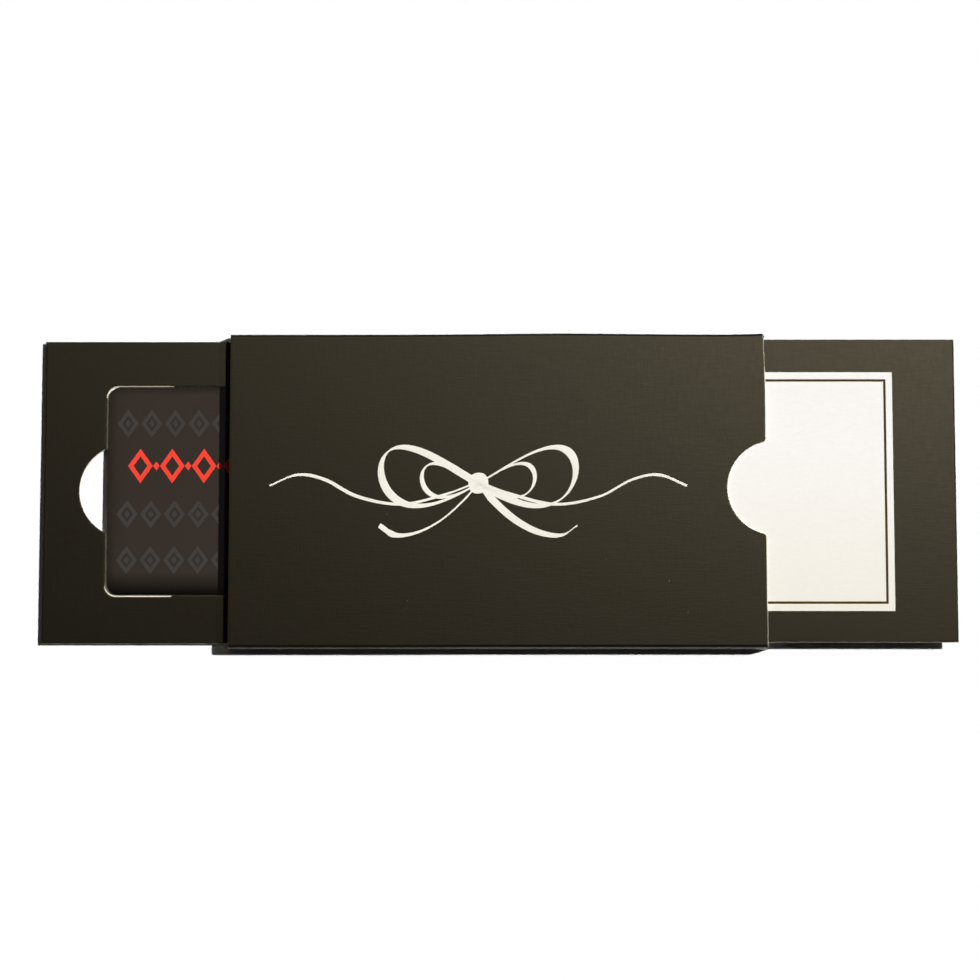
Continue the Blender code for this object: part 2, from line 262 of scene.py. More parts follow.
def along(path, distance, depth):
    """Return the two coordinates of a folded board's section.

    The path is a core line with a direction that turns at each fold. A point is the
    core's place at that distance, plus the radius less the depth along the direction.
    """
    stops, first, second, angle, radius = path
    turn = np.radians(np.interp(distance, stops, angle))
    reach = radius - depth
    return (
        np.interp(distance, stops, first) + reach * np.cos(turn),
        np.interp(distance, stops, second) + reach * np.sin(turn))


def board(
        name, flat, faces, place, body, printed, lean, edge, rubbed=1.0, period=0.0, inks=None):
    """Give a flat printed sheet its thickness and fold it up.

    Every point of the sheet is placed twice: at depth 0, the print, and at the board's
    thickness, its unprinted side. The print's free edges draw back by the lean, so the
    cut core shows beside them, and strips of core join the two sides. The print is
    rubbed at its free edges by that share, and elsewhere by the edge value.
    """
    starts = faces.ravel()
    ends = np.roll(faces, -1, axis=1).ravel()
    count = len(flat)
    key = np.minimum(starts, ends).astype(np.int64) * count + np.maximum(starts, ends)
    unused, where, times = np.unique(key, return_inverse=True, return_counts=True)
    free = times[where.ravel()] == 1
    head, tail = starts[free], ends[free]
    run = flat[tail] - flat[head]
    if period:
        run[:, 0] = (run[:, 0] + period / 2) % period - period / 2
    out = np.column_stack([run[:, 1], -run[:, 0]])
    out /= np.maximum(np.linalg.norm(out, axis=1), 1e-9)[:, None]
    push = np.zeros_like(flat)
    np.add.at(push, head, out)
    np.add.at(push, tail, out)
    push /= np.maximum(np.linalg.norm(push, axis=1), 1e-9)[:, None]
    rim = np.zeros(count)
    rim[head] = 1.0
    drawn_back = flat - push * np.broadcast_to(lean, count)[:, None]
    upper = place(drawn_back[:, 0], drawn_back[:, 1], rim * CUT_SINK)
    lower = place(flat[:, 0], flat[:, 1], np.full(count, BOARD))
    strips = np.column_stack([tail, head, head + count, tail + count])
    every_face = np.vstack([faces, faces[:, ::-1] + count, strips])
    index = np.zeros(len(every_face), dtype=np.int32)
    if inks is not None:
        index[:len(faces)] = inks
    index[len(faces):2 * len(faces)] = len(printed)
    index[2 * len(faces):] = len(printed) + 1
    wear = np.maximum(rim * rubbed, edge)
    return mesh_piece(
        name, np.vstack([upper, lower]), every_face, body,
        printed + [UNPRINTED_BOARD, BOARD_CORE], index,
        np.concatenate([wear, rim]))


def circle_of_notch(width, depth):
    """Return the radius of a notch's circle and how far its middle lies past the edge."""
    radius = (width ** 2 / 4 + depth ** 2) / (2 * depth)
    return radius, radius - depth


def srgb(code):
    """Turn an sRGB hex colour into linear red, green, blue and alpha."""
    values = [int(code[place:place + 2], 16) / 255 for place in (1, 3, 5)]
    linear = [v / 12.92 if v <= 0.04045 else ((v + 0.055) / 1.055) ** 2.4 for v in values]
    return (*linear, 1.0)


def add(tree, kind, inputs=None, **settings):
    """Add a node, with its settings, and set or link its inputs."""
    made = tree.nodes.new(kind)
    for name, value in settings.items():
        setattr(made, name, value)
    for name, value in (inputs or {}).items():
        if isinstance(value, bpy.types.NodeSocket):
            tree.links.new(value, made.inputs[name])
        else:
            made.inputs[name].default_value = value
    return made


def new_material(name, **sockets):
    """Return a new material, its node tree and its Principled shader with sockets set."""
    material = bpy.data.materials.new(name)
    material.use_nodes = True
    tree = material.node_tree
    shader = tree.nodes["Principled BSDF"]
    for socket, value in sockets.items():
        shader.inputs[socket.replace("_", " ")].default_value = value
    return material, tree, shader


def per_metre(millimetres):
    """Return the scale that repeats a pattern once in that many millimetres."""
    return 1 / (millimetres * MM)


def own_place(tree):
    """Return the coordinates of the piece itself, in metres."""
    return add(tree, "ShaderNodeTexCoord").outputs["Object"]


def own_axes(tree):
    """Return the coordinates of the piece itself as X, Y and Z."""
    return add(tree, "ShaderNodeSeparateXYZ", {"Vector": own_place(tree)}).outputs


def stretched_noise(tree, sizes, detail=1.0):
    """Return noise on Object coordinates whose grains have these sizes in millimetres."""
    scale = [per_metre(size) for size in sizes]
    grain = add(tree, "ShaderNodeMapping", {"Vector": own_place(tree), "Scale": scale})
    noise = add(
        tree, "ShaderNodeTexNoise",
        {"Vector": grain.outputs["Vector"], "Scale": 1.0, "Detail": detail})
    return noise.outputs["Fac"]


def linen(tree, thread, run):
    """Return the height of fine crossed threads, the mean of noise drawn out both ways."""
    across = stretched_noise(tree, (run, thread, thread))
    down = stretched_noise(tree, (thread, run, thread))
    both = add(tree, "ShaderNodeMix", {0: 0.5, 2: across, 3: down}, data_type="FLOAT")
    return both.outputs[0]


def toned(tree, pattern, low, high, first, second):
    """Return a colour that goes from the first to the second as a pattern rises."""
    share = add(
        tree, "ShaderNodeMapRange", {"Value": pattern, "From Min": low, "From Max": high})
    tone = add(
        tree, "ShaderNodeMix", {0: share.outputs["Result"], 6: first, 7: second},
        data_type="RGBA")
    return tone.outputs[2]


def finish(tree, shader, tone, relief, roughness, strength, depth):
    """Link a shader's colour, and its roughness and bump, which follow one relief.

    The roughness goes from its first value to its second as the relief goes from 0.3
    to 0.7. The depth of the bump is in millimetres.
    """
    gloss = add(
        tree, "ShaderNodeMapRange",
        {"Value": relief, "From Min": 0.3, "From Max": 0.7, "To Min": roughness[0],
         "To Max": roughness[1]})
    bump = add(
        tree, "ShaderNodeBump", {"Height": relief, "Strength": strength, "Distance": depth * MM})
    tree.links.new(tone, shader.inputs["Base Color"])
    tree.links.new(gloss.outputs["Result"], shader.inputs["Roughness"])
    tree.links.new(bump.outputs["Normal"], shader.inputs["Normal"])


def matt_print_on_linen_board(name, colour, light, dust, bare):
    """Flat dark print under a matt laminate on linen-embossed board.

    The emboss spreads the sheen more along the board than across it, a little aslant,
    and breaks it into fine crossed threads. Dust shows as a few pale specks, at most
    0.4 mm across, and the print is rubbed through to bare board at cut edges and folds.
    """
    material, tree, shader = new_material(
        name, Specular_IOR_Level=0.12, Specular_Tint=srgb("#fff0c8"), Anisotropic=0.56, IOR=1.5)
    aslant = math.radians(EMBOSS_TURN)
    emboss = add(tree, "ShaderNodeCombineXYZ", {"X": math.cos(aslant), "Y": math.sin(aslant)})
    tree.links.new(emboss.outputs["Vector"], shader.inputs["Tangent"])
    thread = linen(tree, LINEN_THREAD, LINEN_RUN)
    cloud = stretched_noise(tree, (14.0, 14.0, 14.0), 3.0)
    shade = toned(tree, thread, 0.35, 0.65, srgb(colour), srgb(light))
    shade = toned(tree, cloud, 0.35, 1.55, shade, srgb(light))
    speck = add(
        tree, "ShaderNodeTexVoronoi",
        {"Vector": own_place(tree), "Scale": per_metre(5.5), "Randomness": 1.0})
    size = add(
        tree, "ShaderNodeMapRange",
        {"Value": speck.outputs["Distance"], "From Min": 0.022, "From Max": 0.036, "To Min": 1.0,
         "To Max": 0.0})
    chance = add(tree, "ShaderNodeSeparateColor", {"Color": speck.outputs["Color"]})
    some = add(
        tree, "ShaderNodeMapRange",
        {"Value": chance.outputs["Red"], "From Min": 0.55, "From Max": 0.95, "To Max": 0.22})
    dusty = add(
        tree, "ShaderNodeMath", {0: size.outputs["Result"], 1: some.outputs["Result"]},
        operation="MULTIPLY")
    shade = toned(tree, dusty.outputs["Value"], 0.0, 1.0, shade, srgb(dust))
    edge = add(tree, "ShaderNodeAttribute", attribute_name="edge").outputs["Fac"]
    at_edge = add(tree, "ShaderNodeMath", {0: edge, 1: 2.2}, operation="POWER")
    ragged = add(
        tree, "ShaderNodeMapRange",
        {"Value": stretched_noise(tree, (0.9, 0.9, 0.9), 3.0), "From Min": 0.40,
         "From Max": 0.62, "To Min": 0.3, "To Max": 0.5})
    worn = add(
        tree, "ShaderNodeMath", {0: at_edge.outputs["Value"], 1: ragged.outputs["Result"]},
        operation="MULTIPLY")
    shade = toned(tree, worn.outputs["Value"], 0.0, 1.0, shade, srgb(bare))
    finish(tree, shader, shade, thread, (0.418, 0.454), strength=0.80, depth=LINEN_DEPTH)
    return material


def uncoated_board(name, colour, shadow, warm):
    """Bare bleached board: rough, with soft clouds of fibre and a faint tooth."""
    material, tree, shader = new_material(name, Specular_IOR_Level=0.06, IOR=1.47)
    fibre = stretched_noise(tree, (1.6, 0.35, 0.35), 4.0)
    cloud = stretched_noise(tree, (9.0, 7.0, 7.0), 3.0)
    shade = toned(tree, fibre, 0.35, 0.95, srgb(colour), srgb(shadow))
    shade = toned(tree, cloud, 0.40, 1.15, shade, srgb(warm))
    finish(tree, shader, shade, fibre, (0.78, 0.92), strength=0.4, depth=0.012)
    return material


def writing_panel(name, far, near, shadow):
    """The unprinted white of the board, left bare to be written on.

    It is a little darker and warmer towards the near edge: painted shade, where the light
    falls off. It has a faint tooth of fibre.
    """
    material, tree, shader = new_material(name, Specular_IOR_Level=0.02, IOR=1.47)
    across = own_axes(tree)["Y"]
    fibre = stretched_noise(tree, (1.6, 0.35, 0.35), 4.0)
    # Painted shade: the colour goes from the far tone to a darker, warmer near tone, standing in
    # for the light falling off towards the near edge
    shade = toned(tree, across, -34.0 * MM, 10.0 * MM, srgb(near), srgb(far))
    shade = toned(tree, fibre, 0.35, 2.35, shade, srgb(shadow))
    finish(tree, shader, shade, fibre, (0.80, 0.92), strength=0.3, depth=0.008)
    return material


def die_cut_core(name, colour, shadow):
    """The cut edge of board: cream plies pressed by the knife, thin layers along it."""
    material, tree, shader = new_material(name, Specular_IOR_Level=0.05, IOR=1.47)
    ply = stretched_noise(tree, (2.5, 2.5, 0.07), 2.0)
    torn = stretched_noise(tree, (0.5, 0.5, 0.3), 3.0)
    shade = toned(tree, ply, 0.35, 0.85, srgb(colour), srgb(shadow))
    shade = toned(tree, torn, 0.45, 0.95, shade, srgb(shadow))
    finish(tree, shader, shade, torn, (0.85, 0.95), strength=0.5, depth=0.03)
    return material


def smooth_ink(name, colour, darker, roughness, level):
    """Solid printed ink: an even film, slightly mottled where the board's tooth shows."""
    material, tree, shader = new_material(name, Specular_IOR_Level=level, IOR=1.5)
    mottle = stretched_noise(tree, (0.5, 0.5, 0.5), 3.0)
    drift = stretched_noise(tree, (12.0, 12.0, 12.0), 2.0)
    shade = toned(tree, mottle, 0.40, 1.00, srgb(colour), srgb(darker))
    shade = toned(tree, drift, 0.40, 1.40, shade, srgb(darker))
    rough = (roughness - 0.05, roughness + 0.08)
    finish(tree, shader, shade, mottle, rough, strength=0.2, depth=0.008)
    return material


def satin_card_laminate(name, colour, grain_tone, dark):
    """Printed PVC card under a satin laminate.

    Its colour fades to near black towards the near edge, the outer end and the far edge,
    each from one distance to another in millimetres.
    """
    material, tree, shader = new_material(
        name, Specular_IOR_Level=0.035, Specular_Tint=srgb("#fff0e0"), IOR=1.54)
    axes = own_axes(tree)
    grain = stretched_noise(tree, (0.35, 0.35, 0.35), 3.0)
    shade = toned(tree, grain, 0.35, 1.35, srgb(colour), srgb(grain_tone))
    for axis, edge, start, end in (("Y", CARD_LOW[1], 0.4, 6.0), ("X", CARD_LOW[0], -5.0, 2.5)):
        shade = toned(
            tree, axes[axis], (edge + start) * MM, (edge + end) * MM, srgb(dark), shade)
    far = CARD_HIGH[1]
    shade = toned(tree, axes["Y"], (far - 2.2) * MM, (far + 1.8) * MM, shade, srgb(dark))
    finish(tree, shader, shade, grain, (0.38, 0.48), strength=0.15, depth=0.006)
    return material


def cut_card_edge(name, core, core_shadow, skin):
    """The milled edge of a laminated card: pale core between two dark printed layers."""
    material, tree, shader = new_material(name, Specular_IOR_Level=0.04, IOR=1.54)
    middle = (CARD_LOW[2] + CARD_HIGH[2]) / 2 * MM
    height = add(
        tree, "ShaderNodeMath", {0: own_axes(tree)["Z"], 1: middle}, operation="SUBTRACT")
    away = add(tree, "ShaderNodeMath", {0: height.outputs["Value"]}, operation="ABSOLUTE")
    scratch = stretched_noise(tree, (1.5, 1.5, 0.05), 2.0)
    shade = toned(tree, scratch, 0.3, 0.7, srgb(core), srgb(core_shadow))
    shade = toned(tree, away.outputs["Value"], 0.22 * MM, 0.28 * MM, shade, srgb(skin))
    finish(tree, shader, shade, scratch, (0.42, 0.58), strength=0.3, depth=0.01)
    return material


def clear_film(name, colour, streaked):
    """Clear drawn polypropylene film: glossy, with faint drawing streaks along it."""
    material, tree, shader = new_material(name, Transmission_Weight=0.85, IOR=1.49)
    streak = stretched_noise(tree, (20.0, 0.4, 0.4), 2.0)
    shade = toned(tree, streak, 0.0, 1.0, srgb(colour), srgb(streaked))
    finish(tree, shader, shade, streak, (0.08, 0.22), strength=0.3, depth=0.01)
    return material


def closed_cell_foam(name, pit_tone, wall_tone):
    """Closed-cell polyethylene foam tape: white, its cut cells a fraction of a millimetre."""
    material, tree, shader = new_material(name, Specular_IOR_Level=0.3, IOR=1.5)
    cell = add(
        tree, "ShaderNodeTexVoronoi", {"Vector": own_place(tree), "Scale": per_metre(0.45)})
    pit = cell.outputs["Distance"]
    shade = toned(tree, pit, 0.1, 0.7, srgb(pit_tone), srgb(wall_tone))
    finish(tree, shader, shade, pit, (0.65, 0.85), strength=0.6, depth=0.08)
    return material


def dried_glue(name, colour, darker):
    """A dried line of white glue: yellowish, half gloss, with a rippled skin."""
    material, tree, shader = new_material(
        name, Specular_IOR_Level=0.5, IOR=1.48, Subsurface_Weight=0.1,
        Subsurface_Scale=0.2 * MM)
    ripple = stretched_noise(tree, (2.2, 1.4, 1.4), 3.0)
    shade = toned(tree, ripple, 0.0, 1.0, srgb(colour), srgb(darker))
    finish(tree, shader, shade, ripple, (0.28, 0.50), strength=0.6, depth=0.05)
    return material


MATT_PRINT = matt_print_on_linen_board(
    "matt_laminated_print_on_linen_board", "#070503", "#0a0806", "#b9b2a2", "#8f8674")
UNPRINTED_BOARD = uncoated_board("bleached_board_unprinted", "#efebe0", "#e2dccd", "#ece3d0")
BOARD_CORE = die_cut_core("die_cut_board_core", "#e9e2d2", "#b7ab93")
WRITING_PANEL = writing_panel(
    "white_writing_panel_uncoated", "#faf7f3", "#f0ebde", "#e3dfd2")
BORDER_INK = smooth_ink("dark_brown_offset_ink", "#48381c", "#3b2d16", 0.5, 0.01)
CREAM_INK = smooth_ink("cream_screen_ink", "#f7f3e7", "#e6e1d1", 0.55, 0.03)
GREY_INK = smooth_ink("grey_screen_ink_on_card", "#403d3a", "#393633", 0.45, 0.03)
RED_INK = smooth_ink("red_screen_ink_on_card", "#f84737", "#ee3e2f", 0.45, 0.03)
CARD_FACE = satin_card_laminate("satin_laminated_pvc", "#352e28", "#2b2521", "#040303")
CARD_EDGE = cut_card_edge("milled_pvc_card_edge", "#7d6a58", "#5d4d40", "#1c1714")
FILM = clear_film("clear_drawn_polypropylene_film", "#eef1f2", "#d9dee2")
FOAM = closed_cell_foam("closed_cell_foam_tape", "#dcdbd6", "#f3f2ee")
GLUE = dried_glue("dried_white_glue", "#efe7cf", "#dccfa9")


def spaced(stops, step):
    """Return values from the first stop to the last through every stop, about a step apart."""
    runs = []
    for low, high in zip(stops[:-1], stops[1:]):
        count = max(1, int(round(abs(high - low) / step)))
        runs.append(np.linspace(low, high, count, endpoint=False))
    return np.concatenate(runs + [np.array(stops[-1:], dtype=float)])


def sleeve_path():
    """Return the path round the sleeve's print: four panels and the folds between them."""
    radius = SLEEVE_FOLD_RADIUS
    top = SLEEVE_HIGH[2] - SLEEVE_PRINT_DROP
    side = SLEEVE_HIGH[1] - radius
    high = top - radius
    low = SLEEVE_LOW[2] + radius
    quarter = math.pi / 2 * radius
    lengths = [0, 2 * side, quarter, high - low, quarter, 2 * side, quarter, high - low, quarter]
    across = [-side, side, side, side, side, -side, -side, -side, -side]
    height = [high, high, high, low, low, low, low, high, high]
    angle = [90, 90, 0, 0, -90, -90, -180, -180, -270]
    return np.cumsum(lengths), across, height, angle, radius


def sleeve_notch():
    """Return the notch's radius, how far its middle lies past the edge, and two y values.

    They are those of the middle of each corner's fillet and of where it touches the
    notch's circle, both counted from the notch's middle.
    """
    radius, past = circle_of_notch(SLEEVE_NOTCH_WIDTH, SLEEVE_NOTCH_DEPTH)
    both = radius + NOTCH_CORNER_RADIUS
    corner_y = math.sqrt(both ** 2 - (NOTCH_CORNER_RADIUS + past) ** 2)
    return radius, past, corner_y, corner_y * radius / both


def notch_end(y):
    """Return how far the sleeve's front panel reaches to the right at each y.

    Inside the notch that is its circle, at its corners a small fillet, and beyond
    them the straight edge. Each is x = middle plus or minus the root of radius
    squared less y squared.
    """
    edge = SLEEVE_HIGH[0]
    radius, past, corner_y, touch_y = sleeve_notch()
    corner = NOTCH_CORNER_RADIUS
    away = np.abs(y - SLEEVE_NOTCH_ASIDE)
    circle = edge + past - np.sqrt(np.maximum(radius ** 2 - away ** 2, 0))
    fillet = edge - corner + np.sqrt(np.maximum(corner ** 2 - (away - corner_y) ** 2, 0))
    return np.where(away < touch_y, circle, np.where(away < corner_y, fillet, edge))


def notch_rows():
    """Return the y values that follow the sleeve's notch evenly round its circle."""
    radius, past, corner_y, touch_y = sleeve_notch()
    round_notch = radius * np.sin(np.linspace(0, math.asin(touch_y / radius), 30))
    lowest = math.acos(min(1.0, (corner_y - touch_y) / NOTCH_CORNER_RADIUS))
    turn = np.linspace(lowest, math.pi / 2, 7)[1:]
    fillet = corner_y - NOTCH_CORNER_RADIUS * np.cos(turn)
    half = np.concatenate([round_notch, fillet])
    return np.concatenate([-half[:0:-1], half]) + SLEEVE_NOTCH_ASIDE


def front_sag(x, y):
    """Return how far the sleeve's front panel hangs below flat: a cosine of y and x."""
    across = np.cos(np.clip(y / SLEEVE_HIGH[1], -1, 1) * math.pi / 2)
    along_x = np.cos(x / SLEEVE_HIGH[0] * math.pi / 2)
    return FRONT_SAG * across * (SAG_AT_ENDS + (1 - SAG_AT_ENDS) * along_x)


def edge_wave(x, y):
    """Return how far the front panel's long edges draw in from straight.

    The far edge stands full at one x, draws in away from there by a bell curve turned
    over, and comes out again towards its right end. The near edge draws in to the right
    of its own x, by an S-shaped curve: one over one plus an exponential.
    """
    bell = np.exp(-((x - FAR_STRAIGHT_X) / FAR_STRAIGHT_SPREAD) ** 2)
    far = (FAR_DRAW_IN - FAR_DRAW_IN_SLOPE * x) * (1 - bell)
    far = far * (1 - FAR_END_SHARE * rising(x, FAR_END_X, SLEEVE_HIGH[0]) ** 2)
    near = NEAR_DRAW_IN / (1 + np.exp(-(x - NEAR_DRAW_IN_X) / NEAR_DRAW_IN_SPREAD))
    return np.where(y > 0, far, -near)


def crease_wear(away, spread):
    """Return the wear of a crease: 1 on it, falling by a power to 0 at the spread."""
    return np.clip(1 - away / spread, 0, 1) ** WEAR_FADE


def add_sleeve():
    """The sleeve: a sheet with one row per place round the tube and columns along X.

    A point is (distance round the path, x), and each row ends where the panel ends,
    so the notch is part of the grid. The front sags, and its edges draw in a little.
    """
    path = sleeve_path()
    stops, period = path[0], path[0][-1]
    side = SLEEVE_HIGH[1] - SLEEVE_FOLD_RADIUS
    notch = notch_rows()
    front = np.concatenate([
        spaced([-side, SLEEVE_FOLD_ROW - side, notch[0]], SLEEVE_STEP)[:-1], notch,
        spaced([notch[-1], side - SLEEVE_FOLD_ROW, side], SLEEVE_STEP)[1:]])
    rest = spaced(list(stops[1:]), SLEEVE_STEP)
    fold_rows = np.concatenate([
        np.linspace(stops[fold[0]], stops[fold[0] + 1], 9) for fold in SLEEVE_FOLDS])
    rest = np.unique(np.round(np.concatenate([rest, fold_rows]), 6))[1:-1]
    distance = np.concatenate([front + side, rest])
    reach = np.concatenate([notch_end(front), np.full(len(rest), SLEEVE_HIGH[0])])
    close = SLEEVE_END_SHARES
    share = np.concatenate([close, np.linspace(0.05, 0.95, 46), 1 - close[::-1]])
    left = SLEEVE_LOW[0] - SLEEVE_LEFT_PAST
    x = left + (reach - left)[:, None] * share[None, :]
    u = np.broadcast_to(distance[:, None], x.shape)
    flat = np.column_stack([u.ravel(), x.ravel()])
    faces = cells(len(distance), len(share), closed_rows=True)

    def place(u, x, depth):
        y, z = along(path, u, depth)
        upper = rising(z, *WALL_RISE)
        z = z - front_sag(x, y) * rising(z, *SAG_RISE)
        y = y - edge_wave(x, y) * upper * rising(np.abs(y), *EDGE_BAND)
        corner = CORNER_DRAW_IN * rising(y, CORNER_Y, SLEEVE_HIGH[1])
        x = x - corner * upper * rising(x, CORNER_X, SLEEVE_HIGH[0])
        return np.column_stack([x, y, z])

    # Wear along the folds. At the near top fold it is partly a painted highlight.
    bend = np.zeros(len(distance))
    for start, crease, spread, rubbed in SLEEVE_FOLDS:
        run = stops[start + 1] - stops[start]
        away = np.abs(distance - stops[start] - crease * run)
        bend = np.maximum(bend, rubbed * crease_wear(away, spread * run))
    edge = np.repeat(bend, len(share))
    cut_in = np.clip(np.repeat(SLEEVE_HIGH[0] - reach, len(share)), 0, 1)
    near, far = side + PANEL_NEAR, side + PANEL_FAR
    beside_panel = np.interp(flat[:, 0], [near, near + 1, far, far + 1], [0, 1, 1, 0])
    straight = SLEEVE_STRIP_LEAN + (SLEEVE_RIGHT_LEAN - SLEEVE_STRIP_LEAN) * beside_panel
    right_lean = straight + (NOTCH_LEAN - straight) * cut_in
    at_left = flat[:, 1] < 0
    piece = board(
        "sleeve_board", flat, faces, place, "sleeve_body", [MATT_PRINT],
        np.where(at_left, SLEEVE_LEFT_LEAN, right_lean), edge,
        np.where(at_left, SLEEVE_LEFT_RUBBED, 1.0), period)
    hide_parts("sleeve")


def blank_place(low, high, side):
    """Return the function that folds a slider's flat blank, and its path's stops.

    The path follows the print over the fold at the outer end. Distance is the X of the
    upper panel, counted outwards from 0, so it runs past the fold and on under the
    lower panel back to the inner end.
    """
    radius = (high[2] - low[2]) / 2
    middle = (high[2] + low[2]) / 2
    outer = high[0] if side > 0 else -low[0]
    inner = low[0] if side > 0 else -high[0]
    bend = outer - radius
    lower_start = bend + math.pi * radius
    stops = np.array([inner, bend, lower_start, lower_start + bend - inner])
    angles = [90, 90, -90, -90] if side > 0 else [90, 90, 270, 270]
    path = (stops, side * np.array([inner, bend, bend, inner]), [middle] * 4, angles, radius)

    def place(u, y, depth):
        x, z = along(path, u, depth)
        return np.column_stack([x, y, z])

    return place, stops


def fold_wear(distance, stops):
    """Return the wear of a folded end: strongest at the middle of the half turn."""
    away = np.abs(distance - (stops[1] + stops[2]) / 2)
    half = (stops[2] - stops[1]) / 2
    return SLIDER_FOLD_RUBBED * crease_wear(away, SLIDER_FOLD_SPREAD * half)


def arc_points(centre, radius, start, end, steps):
    """Return points on an arc between two angles in degrees, both ends included."""
    angle = np.radians(np.linspace(start, end, steps + 1))
    return np.column_stack([
        centre[0] + radius * np.cos(angle), centre[1] + radius * np.sin(angle)])


def line_points(start, end, steps):
    """Return points on a straight line, both ends included."""
    share = np.linspace(0, 1, steps + 1)[:, None]
    return np.array(start) * (1 - share) + np.array(end) * share


def chained(runs):
    """Join runs of points that each start where the last one ended."""
    return np.vstack([runs[0]] + [run[1:] for run in runs[1:]])


def ring_sheet(hole_sides, outer_sides, shares):
    """Return the flat sheet between a hole and the rectangle round it.

    Each of the four sides has as many points on the hole as on the rectangle, and a
    point is a share of the way from one to the other.
    """
    hole = np.vstack([side[:-1] for side in hole_sides])
    box = np.vstack([side[:-1] for side in outer_sides])
    share = np.array(shares)[None, :, None]
    grid = hole[:, None, :] * (1 - share) + box[:, None, :] * share
    flat = grid.reshape(-1, 2)
    return flat, facing_up(flat, cells(len(hole), len(shares), closed_rows=True))


def grid_sheet(first, second):
    """Return a flat rectangular sheet from its two lists of coordinates."""
    u, v = np.meshgrid(first, second, indexing="ij")
    flat = np.column_stack([u.ravel(), v.ravel()])
    return flat, facing_up(flat, cells(len(first), len(second)))


# How many steps the outer, long and inner sides of a ring of sheet have, and where its
# points lie on the way from the hole to the rectangle, close together at both
OUTER_STEPS = 64
LONG_STEPS = 60
INNER_STEPS = 30
RING_SHARES = [0, 0.025, 0.045, 0.12, 0.3, 0.5, 0.7, 0.88, 0.955, 0.975, 1]


def box_sides(low_u, high_u, half_width):
    """Return the rectangle round a hole: outer end, near side, inner end, far side."""
    corners = [
        (high_u, half_width), (high_u, -half_width), (low_u, -half_width),
        (low_u, half_width), (high_u, half_width)]
    counts = [OUTER_STEPS, LONG_STEPS, INNER_STEPS, LONG_STEPS]
    return [line_points(a, b, n) for a, b, n in zip(corners[:-1], corners[1:], counts)]


